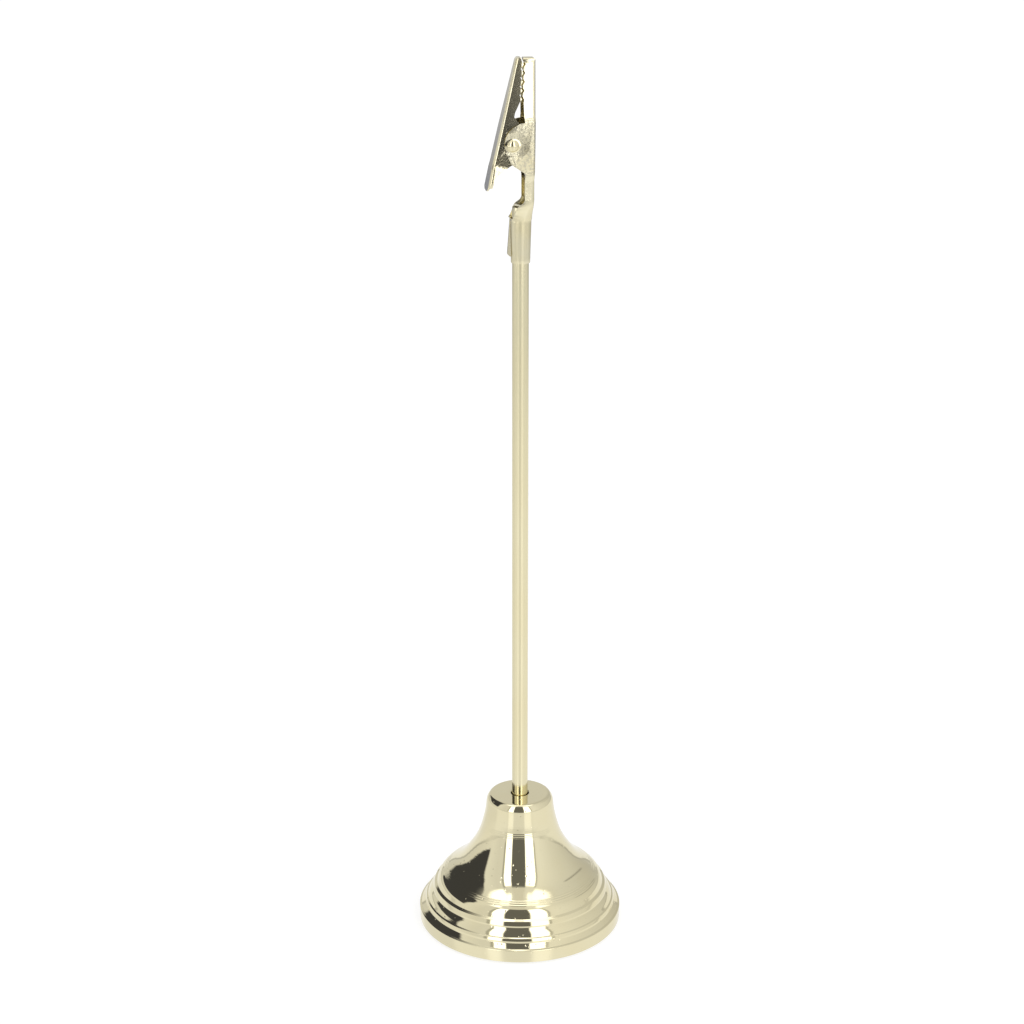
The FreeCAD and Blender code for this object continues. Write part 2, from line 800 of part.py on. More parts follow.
def moving_jaw():
    """The sprung jaw: a toothed channel that narrows to its nose and ends in a thumb tab."""
    bend = S.bend_radius
    back = S.jaw_back
    tab_low = (-S.tab_end, back - 0.15, S.tab_half_width, bend, 0.0)
    tab_high = (-(S.skirt_end + 1.6), back, S.skirt_half_width, bend, TAB_SPLAY)
    body_low = (-S.skirt_end, back, S.jaw_half_width, bend, MOVING_SPLAY)
    shoulder = (S.jaw_shoulder, back, S.jaw_shoulder_half_width, bend, MOVING_SPLAY)
    nose = (S.jaw_tip, back, S.jaw_tip_half_width, bend, MOVING_SPLAY)
    stations = [tab_low, tab_high, *eased(tab_high, body_low, 3), body_low, shoulder, nose]
    channel = sheet_channel("moving", stations, True)
    side = draw(free_sketch("moving_side", UPRIGHT_XZ), moving_jaw_outline())
    front = free_sketch("moving_front", UPRIGHT_YZ)
    tab_round = 2.6
    half = S.tab_half_width
    draw(front, [
        (half, tab_round - S.tab_end),
        (half, S.jaw_tip + 1.0),
        (-half, S.jaw_tip + 1.0),
        (-half, tab_round - S.tab_end),
        (tab_round - half, -S.tab_end, tab_round),
        (half - tab_round, -S.tab_end),
        (half, tab_round - S.tab_end, tab_round),
    ][1:])
    solids = [channel, prism("moving_side_solid", side, as_size(PRISM_WIDTH)),
              prism("moving_front_solid", front, as_size(PRISM_WIDTH * 2))]
    blank = intersect("moving_blank", solids)
    hole = across_hinge("moving_pin_hole", S.pin_radius + S.pin_clearance, S.jaw_half_width + 1.0, 0.0, 0.0)
    jaw = subtract("moving_jaw", blank, hole)
    turn = Rotation(Vector(0, 1, 0), S.jaw_lean.value) * Rotation(Vector(0, 0, 1), 180)
    jaw.Placement = Placement(Vector(), turn)
    return bind(jaw, Placement__Base__x=S.pin_x, Placement__Base__z=S.pin_height)


# ---------------------------------------------------------------- hinge
def hinge_pin():
    """Rivet through both jaws, with a domed head outside each ear."""
    body = new_body("hinge_pin")
    sketch = body_sketch(body, "pin_section")
    rim = 0.15
    rise = S.pin_head_height.value - rim
    reach = S.pin_head_radius.value
    dome = (reach * reach + rise * rise) / (2 * rise)
    face = S.pin_head_seat
    draw(sketch, [
        (0.0, -(face + S.pin_head_height)),
        (S.pin_head_radius, -(face + rim), dome),
        (S.pin_head_radius, -face),
        (S.pin_radius, -face),
        (S.pin_radius, face),
        (S.pin_head_radius, face),
        (S.pin_head_radius, face + rim),
        (0.0, face + S.pin_head_height, dome),
    ])
    revolve(body, sketch, "pin_turned")
    body.Placement = Placement(Vector(), UPRIGHT_XZ)
    return bind(body, Placement__Base__x=S.pin_x, Placement__Base__z=S.pin_height)


def spring_rest(side_x, reach_down, lean=0.0):
    """Where a leg's tip lies in the spring's own plane, on a back that leans by the angle."""
    return Vector(side_x * math.cos(lean) - reach_down * math.sin(lean),
                  -side_x * math.sin(lean) - reach_down * math.cos(lean), 0)


def torsion_spring():
    """Wire wound round the pin; its legs push the two backs apart below the hinge.

    Drawn flat, with x across the clip, y up and the coil's axis along z, then stood upright.
    """
    lean = math.radians(S.jaw_lean.value)
    wire, radius, pitch = S.wire_radius.value, S.coil_radius.value, S.coil_pitch.value
    slope = pitch / (2 * math.pi * radius)
    neck_inside = S.neck_face.value - S.clip_gauge.value - S.pin_x.value
    jaw_inside = S.jaw_back.value - S.clip_gauge.value
    on_neck = spring_rest(neck_inside - wire, S.spring_leg_fixed.value)
    on_jaw = spring_rest(wire + S.spring_play.value - jaw_inside, S.spring_leg_moving.value, lean)

    first = math.atan2(on_neck.y, on_neck.x) + math.acos(radius / on_neck.Length)
    last = math.atan2(on_jaw.y, on_jaw.x) - math.acos(radius / on_jaw.Length)
    turns = S.coil_turns.value + ((last - first) / (2 * math.pi)) % 1
    helix = Part.makeHelix(pitch, turns * pitch, radius)
    helix.translate(Vector(0, 0, -turns * pitch / 2))
    helix.rotate(Vector(), Vector(0, 0, 1), math.degrees(first))
    coil_start = helix.Edges[0].Vertexes[0].Point
    coil_end = helix.Edges[-1].Vertexes[-1].Point

    neck_reach = math.sqrt(on_neck.Length ** 2 - radius ** 2)
    jaw_reach = math.sqrt(on_jaw.Length ** 2 - radius ** 2)
    neck_tip = coil_start - neck_reach * Vector(-math.sin(first), math.cos(first), slope)
    jaw_tip = coil_end + jaw_reach * Vector(-math.sin(last), math.cos(last), slope)
    path = Part.Wire([Part.makeLine(neck_tip, coil_start), *helix.Edges,
                      Part.makeLine(coil_end, jaw_tip)])
    profile = Part.Wire(Part.makeCircle(wire, neck_tip, coil_start - neck_tip))
    spring = doc.addObject("Part::Feature", "torsion_spring")
    spring.Shape = path.makePipeShell([profile], True, True)
    spring.Placement = Placement(Vector(S.pin_x.value, 0, S.pin_height.value), UPRIGHT_XZ)
    return spring


# ---------------------------------------------------------------- build, check and export
def check_and_export(names):
    """Stop on any failed object or bad shape, then write one STEP file a sub-part."""
    for item in doc.Objects:
        if "Invalid" in item.State or "Error" in item.State:
            raise RuntimeError(f"{item.Label}: {item.State}")
    os.makedirs("parts", exist_ok=True)
    for name in names:
        shape = doc.getObject(name).Shape
        if shape.isNull() or not shape.isValid():
            raise RuntimeError(f"{name} has a bad shape")
        if len(shape.Solids) != 1:
            raise RuntimeError(f"{name} is {len(shape.Solids)} solids")
        shape.exportStep(f"parts/{name}.step")
        box = shape.BoundBox
        print(f"{name}: {shape.Volume:.1f} mm3, z {box.ZMin:.2f} to {box.ZMax:.2f}")


base_shell()
ballast()
base_pad()
rod()
fasteners()
fixed_jaw()
moving_jaw()
hinge_pin()
torsion_spring()
doc.recompute()
check_and_export([
    "base_shell", "ballast", "base_pad", "rod", "upper_washer", "upper_nut", "lower_washer",
    "lock_washer", "lower_nut", "fixed_jaw", "moving_jaw", "hinge_pin", "torsion_spring",
])
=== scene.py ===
"""Table number holder: a weighted, stepped bell base, a slim rod and a sprung alligator clip.

Everything is in metres, in the CAD part's own frame. Outlines in the code are in millimetres, and
MM turns them into metres. Distances and scales inside a material are in metres.
"""
import math

import bmesh
import bpy
import numpy as np
from mathutils import Euler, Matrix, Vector


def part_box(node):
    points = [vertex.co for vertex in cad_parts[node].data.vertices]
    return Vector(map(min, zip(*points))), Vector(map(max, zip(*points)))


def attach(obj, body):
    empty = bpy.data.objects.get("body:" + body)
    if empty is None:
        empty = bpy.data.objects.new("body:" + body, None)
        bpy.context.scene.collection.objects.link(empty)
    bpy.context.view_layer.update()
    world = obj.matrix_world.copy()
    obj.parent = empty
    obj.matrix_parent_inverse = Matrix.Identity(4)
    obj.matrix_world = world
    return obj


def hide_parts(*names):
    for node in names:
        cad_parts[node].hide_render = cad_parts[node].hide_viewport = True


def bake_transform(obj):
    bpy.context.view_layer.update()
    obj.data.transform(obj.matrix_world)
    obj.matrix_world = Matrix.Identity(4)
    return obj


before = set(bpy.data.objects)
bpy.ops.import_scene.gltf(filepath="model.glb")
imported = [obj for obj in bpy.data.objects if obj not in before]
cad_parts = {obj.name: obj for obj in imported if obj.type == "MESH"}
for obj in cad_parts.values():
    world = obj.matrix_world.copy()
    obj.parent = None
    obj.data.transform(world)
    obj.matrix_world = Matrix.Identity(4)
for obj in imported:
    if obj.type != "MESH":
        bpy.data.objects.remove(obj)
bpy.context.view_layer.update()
MM = 0.001
CAMERA_AZIMUTH = -8.2


# ---------------------------------------------------------------- node trees
class Tree:
    """Small helper that adds shader nodes and links them by name."""

    def __init__(self, tree):
        self.tree = tree
        tree.nodes.clear()

    def add(self, kind, inputs=None, **settings):
        node = self.tree.nodes.new(kind)
        for name, value in settings.items():
            setattr(node, name, value)
        for name, value in (inputs or {}).items():
            self.feed(node.inputs[name], value)
        return node

    def feed(self, socket, value):
        if isinstance(value, bpy.types.NodeSocket):
            self.tree.links.new(value, socket)
        else:
            socket.default_value = value

    def math(self, operation, first, second=0.0, clamp=False):
        node = self.add("ShaderNodeMath", {0: first, 1: second}, operation=operation, use_clamp=clamp)
        return node.outputs[0]

    def mix(self, share, first, second):
        node = self.add("ShaderNodeMix", data_type="RGBA")
        self.feed(node.inputs[0], share)
        self.feed(node.inputs[6], first)
        self.feed(node.inputs[7], second)
        return node.outputs[2]

    def fade(self, value, low, high, to_low=0.0, to_high=1.0):
        """A smooth step from to_low to to_high as value goes from low to high."""
        node = self.add("ShaderNodeMapRange", {
            "Value": value, "From Min": low, "From Max": high, "To Min": to_low, "To Max": to_high,
        }, interpolation_type="SMOOTHSTEP")
        return node.outputs["Result"]

    def band(self, value, low, low_full, high_full, high):
        """One between low_full and high_full, falling smoothly to zero at low and at high."""
        return self.math("MULTIPLY", self.fade(value, low, low_full), self.fade(value, high, high_full))

    def levels_round(self, azimuth, stops):
        """Grey levels at the given angles in degrees, run smoothly from one to the next."""
        share = self.math("DIVIDE", self.math("ADD", azimuth, 180.0), 360.0)
        node = self.add("ShaderNodeValToRGB", {0: share})
        elements = node.color_ramp.elements
        while len(elements) < len(stops):
            elements.new(0.5)
        for element, (angle, level) in zip(elements, stops):
            element.position = (angle + 180) / 360
            element.color = colour(level, level, level)
        return node.outputs[0]

    def bearing(self, way):
        """Degrees round the vertical from the camera's side, positive to its right."""
        turn = math.radians(CAMERA_AZIMUTH)
        x, y, _ = self.add("ShaderNodeSeparateXYZ", {0: way}).outputs
        x_ahead = self.math("MULTIPLY", x, math.sin(turn))
        y_ahead = self.math("MULTIPLY", y, math.cos(turn))
        x_across = self.math("MULTIPLY", x, math.cos(turn))
        y_across = self.math("MULTIPLY", y, math.sin(turn))
        ahead = self.math("SUBTRACT", x_ahead, y_ahead)
        across = self.math("ADD", x_across, y_across)
        return self.math("DEGREES", self.math("ARCTAN2", across, ahead))

    def noise(self, vector, scale, detail=2.0, roughness=0.5):
        node = self.add("ShaderNodeTexNoise", {
            "Vector": vector, "Scale": scale, "Detail": detail, "Roughness": roughness,
        })
        return node.outputs["Fac"]

    def stretched(self, vector, scale):
        node = self.add("ShaderNodeMapping", {"Vector": vector, "Scale": scale})
        return node.outputs["Vector"]

    def bump(self, height, distance, below=None, strength=1.0):
        node = self.add("ShaderNodeBump", {"Height": height, "Distance": distance, "Strength": strength})
        if below is not None:
            self.feed(node.inputs["Normal"], below)
        return node.outputs["Normal"]

    def show(self, shader, output="ShaderNodeOutputMaterial"):
        """Links a shader to the surface that is rendered."""
        self.tree.links.new(shader.outputs[0], self.add(output).inputs["Surface"])


def new_material(name):
    material = bpy.data.materials.new(name)
    material.use_nodes = True
    return material, Tree(material.node_tree)


def colour(red, green, blue):
    return (red, green, blue, 1.0)


# ---------------------------------------------------------------- materials
GOLD = colour(0.815, 0.752, 0.515)
GOLD_WARM = colour(0.80, 0.725, 0.475)
CLIP_GOLD = colour(0.815, 0.757, 0.545)
FIN_PAINTED_SHADE = colour(0.55, 0.51, 0.37)
EAR_PAINTED_SHADE = colour(0.50, 0.47, 0.36)


def finish(tree, tint, metallic, roughness, normal):
    """Feeds the four channels to one shader and the shader to the surface."""
    shader = tree.add("ShaderNodeBsdfPrincipled", {
        "Base Color": tint, "Metallic": metallic, "Roughness": roughness, "Normal": normal,
    })
    tree.show(shader)


def spun_gold():
    """Mirror-bright plating over lathe lines that run round the bell."""
    material, tree = new_material("spun_gold")
    uv = tree.add("ShaderNodeUVMap", uv_map="spin").outputs[0]
    place = tree.add("ShaderNodeTexCoord").outputs["Object"]
    rings = tree.noise(tree.stretched(uv, (1.5, 2600.0, 1.0)), 1.0, 3.0, 0.6)
    broad = tree.noise(tree.stretched(uv, (3.0, 420.0, 1.0)), 1.0, 2.0)
    smudge = tree.noise(place, 55.0, 3.0, 0.55)
    pits = tree.add("ShaderNodeTexVoronoi", {"Vector": place, "Scale": 600.0}).outputs["Distance"]
    pitted = tree.fade(pits, 0.04, 0.17)
    tint = tree.mix(tree.fade(smudge, 0.35, 0.75), GOLD, GOLD_WARM)
    roughness = tree.fade(smudge, 0.3, 0.8, 0.035, 0.085)
    lined = tree.bump(rings, 0.000004)
    waved = tree.bump(broad, 0.000018, lined)
    normal = tree.bump(pitted, 0.000025, waved)
    finish(tree, tint, 1.0, roughness, normal)
    return material


def drawn_gold():
    """Satin plating on drawn wire: fine lines along the rod."""
    material, tree = new_material("drawn_gold")
    place = tree.add("ShaderNodeTexCoord").outputs["Object"]
    lines = tree.noise(tree.stretched(place, (2600.0, 2600.0, 18.0)), 1.0, 3.0, 0.6)
    cloud = tree.noise(tree.stretched(place, (1.0, 1.0, 0.25)), 160.0, 2.0)
    tint = tree.mix(tree.fade(cloud, 0.3, 0.8), GOLD, GOLD_WARM)
    roughness = tree.fade(cloud, 0.25, 0.8, 0.16, 0.24)
    normal = tree.bump(lines, 0.0000016)
    finish(tree, tint, 1.0, roughness, normal)
    return material


def stamped_gold():
    """Bright plating on stamped sheet, pebbled by the press: most on the ears, least on the barrel.

    The fin under the crimp is given painted shade, a darker tint that stands in for its dark reflection, and
    two soft creases run up the barrel.
    """
    material, tree = new_material("stamped_gold")
    place = tree.add("ShaderNodeTexCoord").outputs["Object"]
    across, depth, height = tree.add("ShaderNodeSeparateXYZ", {0: place}).outputs
    pebble = tree.noise(place, 2300.0, 2.0, 0.55)
    dents = tree.noise(place, 520.0, 2.0, 0.5)
    cloud = tree.noise(place, 160.0, 3.0, 0.55)
    tint = tree.mix(tree.fade(cloud, 0.35, 0.75), CLIP_GOLD, GOLD_WARM)
    barrel = tree.band(height, 0.1745, 0.1755, 0.1825, 0.1838)
    # painted shade: the fin low on the barrel is tinted darker, standing in for the dark reflection it shows
    fin_shade_reach = tree.fade(across, -0.0021, -0.0025)
    fin = tree.math("MULTIPLY", fin_shade_reach, tree.fade(height, 0.1845, 0.1825))
    tint = tree.mix(fin, tint, FIN_PAINTED_SHADE)
    outside = tree.fade(tree.math("ABSOLUTE", depth), 0.0035, 0.0037)
    ears = tree.math("MULTIPLY", outside, tree.band(height, 0.1940, 0.1960, 0.2070, 0.2085))
    # painted shade: darker spots on the ears follow the pebble pattern, standing in for pebbles that reflect
    # the dark gap
    mottle_shade = tree.math("MULTIPLY", ears, tree.fade(pebble, 0.38, 0.62, 0.10, 0.75))
    tint = tree.mix(mottle_shade, tint, EAR_PAINTED_SHADE)
    roughness = tree.fade(cloud, 0.3, 0.8, 0.10, 0.20)
    roughness = tree.math("ADD", roughness, tree.math("MULTIPLY", ears, 0.13))
    above_barrel = tree.fade(height, 0.184, 0.196, 0.15, 0.7)
    strength = tree.math("MULTIPLY", above_barrel, tree.fade(height, 0.206, 0.210, 1.0, 0.6))
    bearing = tree.bearing(place)
    creased = []
    for angle in (-16.5, 34.0):
        aside = tree.math("ABSOLUTE", tree.math("SUBTRACT", bearing, angle))
        creased.append(tree.fade(aside, 1.0, 8.0))
    creases = tree.bump(tree.math("MULTIPLY", *creased), 0.000035, strength=barrel)
    pressed = tree.math("ADD", strength, tree.math("MULTIPLY", ears, 0.3), clamp=True)
    rough = tree.bump(pebble, 0.00004, creases, pressed)
    normal = tree.bump(dents, 0.000032, rough, strength)
    finish(tree, tint, 1.0, roughness, normal)
    return material


def rivet_gold():
    """Plating on the rivet, with a faint fine grain."""
    material, tree = new_material("rivet_gold")
    place = tree.add("ShaderNodeTexCoord").outputs["Object"]
    grain = tree.noise(tree.stretched(place, (700.0, 200.0, 700.0)), 1.0, 2.0)
    roughness = tree.fade(grain, 0.3, 0.8, 0.09, 0.18)
    tint = tree.mix(grain, GOLD, GOLD_WARM)
    normal = tree.bump(grain, 0.000002)
    finish(tree, tint, 1.0, roughness, normal)
    return material


def drawn_steel(name, light, dark, stretch):
    """Zinc plated or drawn steel with a fine directional grain."""
    material, tree = new_material(name)
    place = tree.add("ShaderNodeTexCoord").outputs["Object"]
    grain = tree.noise(tree.stretched(place, stretch), 1.0, 3.0, 0.6)
    cloud = tree.noise(place, 260.0, 2.0)
    tint = tree.mix(cloud, light, dark)
    roughness = tree.fade(grain, 0.25, 0.75, 0.24, 0.40)
    normal = tree.bump(grain, 0.000004)
    finish(tree, tint, 1.0, roughness, normal)
    return material


def raw_iron():
    """Sand-cast iron: a coarse dark skin with lighter rubbed spots."""
    material, tree = new_material("raw_iron")
    place = tree.add("ShaderNodeTexCoord").outputs["Object"]
    sand = tree.noise(place, 1400.0, 4.0, 0.65)
    lumps = tree.noise(place, 260.0, 3.0, 0.6)
    rubbed = tree.fade(lumps, 0.3, 0.8)
    tint = tree.mix(rubbed, colour(0.030, 0.030, 0.032), colour(0.085, 0.080, 0.078))
    roughness = tree.fade(sand, 0.2, 0.8, 0.5, 0.8)
    normal = tree.bump(lumps, 0.00010, tree.bump(sand, 0.00004))
    finish(tree, tint, 0.6, roughness, normal)
    return material


def black_foam():
    """Closed-cell foam: matt black with fine bright-edged cells."""
    material, tree = new_material("black_foam")
    place = tree.add("ShaderNodeTexCoord").outputs["Object"]
    cells = tree.add("ShaderNodeTexVoronoi", {"Vector": place, "Scale": 2600.0}).outputs["Distance"]
    cloud = tree.noise(place, 190.0, 3.0)
    edges = tree.math("MULTIPLY", cells, cloud)
    tint = tree.mix(edges, colour(0.011, 0.011, 0.012), colour(0.060, 0.059, 0.058))
    roughness = tree.fade(cloud, 0.3, 0.7, 0.82, 0.95)
    normal = tree.bump(cells, 0.00010)
    finish(tree, tint, 0.0, roughness, normal)
    return material


# ---------------------------------------------------------------- mesh helpers
def new_object(name, mesh, material):
    thing = bpy.data.objects.new(name, mesh)
    bpy.context.scene.collection.objects.link(thing)
    mesh.materials.append(material)
    return thing


def spline(points, per_span=10):
    """A natural cubic spline through the points, sampled evenly within each span."""
    points = np.array(points, float)
    count = len(points)
    knots = np.concatenate([[0.0], np.cumsum(np.linalg.norm(np.diff(points, axis=0), axis=1))])
    gap = np.diff(knots)
    system = np.zeros((count, count))
    right = np.zeros((count, points.shape[1]))
    system[0, 0] = system[-1, -1] = 1.0
    for i in range(1, count - 1):
        system[i, i - 1:i + 2] = gap[i - 1], 2 * (gap[i - 1] + gap[i]), gap[i]
        right[i] = 6 * ((points[i + 1] - points[i]) / gap[i] - (points[i] - points[i - 1]) / gap[i - 1])
    second = np.linalg.solve(system, right)
    samples = [tuple(points[0])]
    for i in range(count - 1):
        for step in range(1, per_span + 1):
            a = 1 - step / per_span
            b = step / per_span
            value = (a * points[i] + b * points[i + 1]
                     + ((a ** 3 - a) * second[i] + (b ** 3 - b) * second[i + 1]) * gap[i] ** 2 / 6)
            samples.append(tuple(value))
    return samples


def rounded(corners, steps=7):
    """A polyline of (x, y, corner radius), with each corner turned into an arc."""
    result = []
    for i, (x, y, radius) in enumerate(corners):
        here = np.array((x, y))
        if radius <= 0 or i in (0, len(corners) - 1):
            result.append((x, y))
            continue
        before = np.array(corners[i - 1][:2]) - here
        after = np.array(corners[i + 1][:2]) - here
        share_before = 0.49 if corners[i - 1][2] else 0.98
        share_after = 0.49 if corners[i + 1][2] else 0.98
        room = min(np.linalg.norm(before) * share_before, np.linalg.norm(after) * share_after)
        before /= np.linalg.norm(before)
        after /= np.linalg.norm(after)
        half = math.acos(max(-1.0, min(1.0, float(before @ after)))) / 2
        reach = min(radius / math.tan(half), room)
        radius = reach * math.tan(half)
        middle = before + after
        centre = here + middle / np.linalg.norm(middle) * (radius / math.sin(half))
        first = here + before * reach - centre
        last = here + after * reach - centre
        turn = math.atan2(first[0] * last[1] - first[1] * last[0], float(first @ last))
        for step in range(steps + 1):
            angle = turn * step / steps
            result.append((centre[0] + first[0] * math.cos(angle) - first[1] * math.sin(angle),
                           centre[1] + first[0] * math.sin(angle) + first[1] * math.cos(angle)))
    return result


def lathe(name, profile, material, segments=192, along="Z", centre=(0, 0, 0), smooth_below=35.0):
    """Turns a closed (radius, height) outline round an axis. A radius of zero closes at the axis."""
    mesh = bpy.data.meshes.new(name)
    bm = bmesh.new()
    uv_layer = bm.loops.layers.uv.new("spin")
    rows = []
    lengths = [0.0]
    for (r0, z0), (r1, z1) in zip(profile, profile[1:] + profile[:1]):
        lengths.append(lengths[-1] + math.hypot(r1 - r0, z1 - z0) * MM)
    for radius, height in profile:
        row = []
        for k in range(segments if radius > 1e-6 else 1):
            angle = 2 * math.pi * k / segments
            flat = (radius * math.cos(angle), radius * math.sin(angle), height)
            if along == "Y":
                flat = (flat[0], flat[2], flat[1])
            row.append(bm.verts.new([centre[j] + flat[j] * MM for j in range(3)]))
        rows.append(row)
    for i in range(len(rows)):
        here, there = rows[i], rows[(i + 1) % len(rows)]
        if len(here) == 1 and len(there) == 1:
            continue
        for k in range(segments):
            nxt = (k + 1) % segments
            ring = [(here[k % len(here)], k, 0), (here[nxt % len(here)], k + 1, 0),
                    (there[nxt % len(there)], k + 1, 1), (there[k % len(there)], k, 1)]
            kept = []
            for corner in ring:
                if all(corner[0] is not other[0] for other in kept):
                    kept.append(corner)
            face = bm.faces.new([corner[0] for corner in kept])
            face.smooth = True
            for loop, corner in zip(face.loops, kept):
                loop[uv_layer].uv = (corner[1] / segments, lengths[i + corner[2]])
    bmesh.ops.recalc_face_normals(bm, faces=bm.faces)
    bm.to_mesh(mesh)
    bm.free()
    mesh.set_sharp_from_angle(angle=math.radians(smooth_below))
    return new_object(name, mesh, material)


def tube(name, path, radius, material, sides=16):
    """A round wire along a path of points, in metres, closed at both ends."""
    mesh = bpy.data.meshes.new(name)
    bm = bmesh.new()
    points = [Vector(p) for p in path]
    ahead = (points[1] - points[0]).normalized()
    side = ahead.orthogonal().normalized()
    rings = []
    for i, point in enumerate(points):
        before = points[max(i - 1, 0)]
        after = points[min(i + 1, len(points) - 1)]
        turned = (after - before).normalized()
        side = (ahead.rotation_difference(turned) @ side).normalized()
        ahead = turned
        other = ahead.cross(side)
        ring = []
        for k in range(sides):
            angle = 2 * math.pi * k / sides
            ring.append(bm.verts.new(point + radius * (math.cos(angle) * side + math.sin(angle) * other)))
        rings.append(ring)
    for low, high in zip(rings, rings[1:]):
        for k in range(sides):
            nxt = (k + 1) % sides
            bm.faces.new((low[k], low[nxt], high[nxt], high[k])).smooth = True
    bm.faces.new(rings[0][::-1])
    bm.faces.new(rings[-1])
    bmesh.ops.recalc_face_normals(bm, faces=bm.faces)
    bm.to_mesh(mesh)
    bm.free()
    mesh.set_sharp_from_angle(angle=math.radians(50))
    return new_object(name, mesh, material)


def dress(node, material, edge=0.0):
    """Gives a CAD node its material, and where asked welds it and rounds its sheet edges."""
    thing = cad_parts[node]
    thing.data.materials.clear()
    thing.data.materials.append(material)
    if edge:
        weld = thing.modifiers.new("weld", "WELD")
        weld.merge_threshold = 0.000002
        bevel = thing.modifiers.new("edges", "BEVEL")
        bevel.width = edge
        bevel.segments = 3
        bevel.limit_method = "ANGLE"
        bevel.angle_limit = math.radians(38)
        bevel.use_clamp_overlap = True
        normals = thing.modifiers.new("normals", "WEIGHTED_NORMAL")
        normals.keep_sharp = False


# ---------------------------------------------------------------- bell base
BASE_TOP = 34.9
NECK_RADIUS = 8.25
CROWN_FLAT = 6.97
FOOT = (20.75, 11.85)
GAUGE = 1.0


def flare():
    """The outside of the bell, from its rounded crown down the concave flare to its foot."""
    crown = [
        (6.6, BASE_TOP), (CROWN_FLAT, BASE_TOP), (7.35, 34.825), (7.68, 34.61),
        (7.97, 34.26), (8.2, 33.9), (8.385, 33.45), (8.48, 33.06),
    ]
    shares = [(0.03, 0.87), (0.105, 0.655), (0.215, 0.48), (0.405, 0.305), (0.64, 0.155), (0.815, 0.08)]
    spread = FOOT[0] - NECK_RADIUS
    rise = BASE_TOP - FOOT[1]
    middle = [(NECK_RADIUS + spread * out, FOOT[1] + rise * up) for out, up in shares]
    return spline([*crown, *middle, FOOT], 14)


def ripples(points, low, high, pitch, depth):
    """Turns fine grooves into the part of a falling outline that lies between two heights."""
    run_in = 0.2
    result = []
    away = 0.0
    for here, there in zip(points, points[1:]):
        here, there = np.array(here), np.array(there)
        length = float(np.linalg.norm(there - here))
        inside = low < here[1] < high
        pieces = max(1, math.ceil(length / (pitch / 8))) if inside else 1
        out = np.array((here[1] - there[1], there[0] - here[0])) / length
        for k in range(pieces):
            place = here + (there - here) * k / pieces
            share = max(0.0, min((place[1] - low) / run_in, (high - place[1]) / run_in, 1.0))
            turn = 2 * math.pi * (away + length * k / pieces) / pitch
            result.append(tuple(place + out * depth * share * math.sin(turn)))
        away += length
    return result + [points[-1]]


def shell_outline():
    """Closed outline: dished hole, flat crown, flare, two steps and rim, then back up inside."""
    hole = rounded([(2.25, BASE_TOP - GAUGE, 0), (2.25, BASE_TOP, 0.35), (4.0, BASE_TOP, 0)], 8)
    outer = ripples(flare(), 12.6, 13.75, 0.58, 0.019)
    outer = ripples(outer, 26.4, 27.9, 0.45, 0.005)
    outer = [place for place in outer if math.dist(place, FOOT) > 1.3]
    tiers = rounded([
        (*outer[-1], 0), (*FOOT, 4.0),
        (21.45, 10.05, 0.08), (22.1, 9.65, 0.3), (22.51, 8.63, 0.12), (22.54, 8.23, 0.12),
        (23.27, 7.33, 6.0), (23.85, 6.22, 0.08), (24.2, 6.03, 0.2), (24.46, 5.41, 0.12), (24.5, 4.93, 0.12),
        (25.5, 3.85, 0.1), (26.0, 3.6, 0.12), (26.0, 0.4, 0.12), (25.0, 0.4, 0),
        (25.0, 3.0, 0), (19.9, 11.0, 0),
    ], 9)
    inside = [(r - 0.75 * GAUGE, z - 0.6 * GAUGE) for r, z in flare()[-8::-8] if z < BASE_TOP - 2.6]
    crown_inside = [(NECK_RADIUS - GAUGE, BASE_TOP - 2.5), (CROWN_FLAT, BASE_TOP - GAUGE)]
    return hole + outer + tiers[1:] + inside + crown_inside


def build_base(gold, iron, foam, zinc):
    shell = lathe("bell_shell", shell_outline(), gold, 320)
    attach(shell, "stand")
    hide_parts("base_shell")
    dress("ballast", iron)
    dress("base_pad", foam)
    for node in ("upper_washer", "upper_nut", "lower_washer", "lock_washer", "lower_nut"):
        dress(node, zinc, 0.00008)


# ---------------------------------------------------------------- rod
def build_rod(gold):
    """The rod, chamfered at both ends, with a ring near each end that keeps its side's shading straight."""
    low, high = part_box("rod")
    bottom, top = low.z / MM, high.z / MM
    radius = high.x / MM
    chamfer, edge, ring = 0.4, 0.1, 1.2
    outline = rounded([
        (0, bottom, 0), (radius - chamfer, bottom, edge),
        (radius, bottom + chamfer, edge), (radius, bottom + ring, 0),
        (radius, top - ring, 0), (radius, top - chamfer, edge),
        (radius - chamfer, top, edge), (0, top, 0),
    ], 3)
    rod = lathe("drawn_rod", outline, gold, 96)
    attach(rod, "stand")
    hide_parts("rod")


# ---------------------------------------------------------------- clip
PIN = (-2.3, 202.0)


def build_rivet(gold):
    """The hinge pin, with a low pressed collar and a smooth dome over each ear."""
    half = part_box("hinge_pin")[1].y / MM
    head, rim, reach = 0.75, 0.15, 1.35
    seat = half - head
    rise = head - rim
    curve = (reach ** 2 + rise ** 2) / (2 * rise)
    steps = 24
    dome = []
    for step in range(steps + 1):
        radius = reach * (1 - step / steps)
        dome.append((radius, half - curve + math.sqrt(curve ** 2 - radius ** 2)))
    collar = [
        (1.0, seat - 0.1, 0), (2.0, seat - 0.06, 0),
        (1.45, seat + 0.05, 0.1), (reach, seat + 0.05, 0.02),
    ]
    right = rounded([*collar, (*dome[0], 0.05), (*dome[1], 0)], 4) + dome[2:]
    outline = [(r, -y) for r, y in right][::-1] + right
    rivet = lathe("rivet", outline, gold, 64, "Y", (PIN[0] * MM, 0, PIN[1] * MM))
    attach(rivet, "stand")
    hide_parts("hinge_pin")


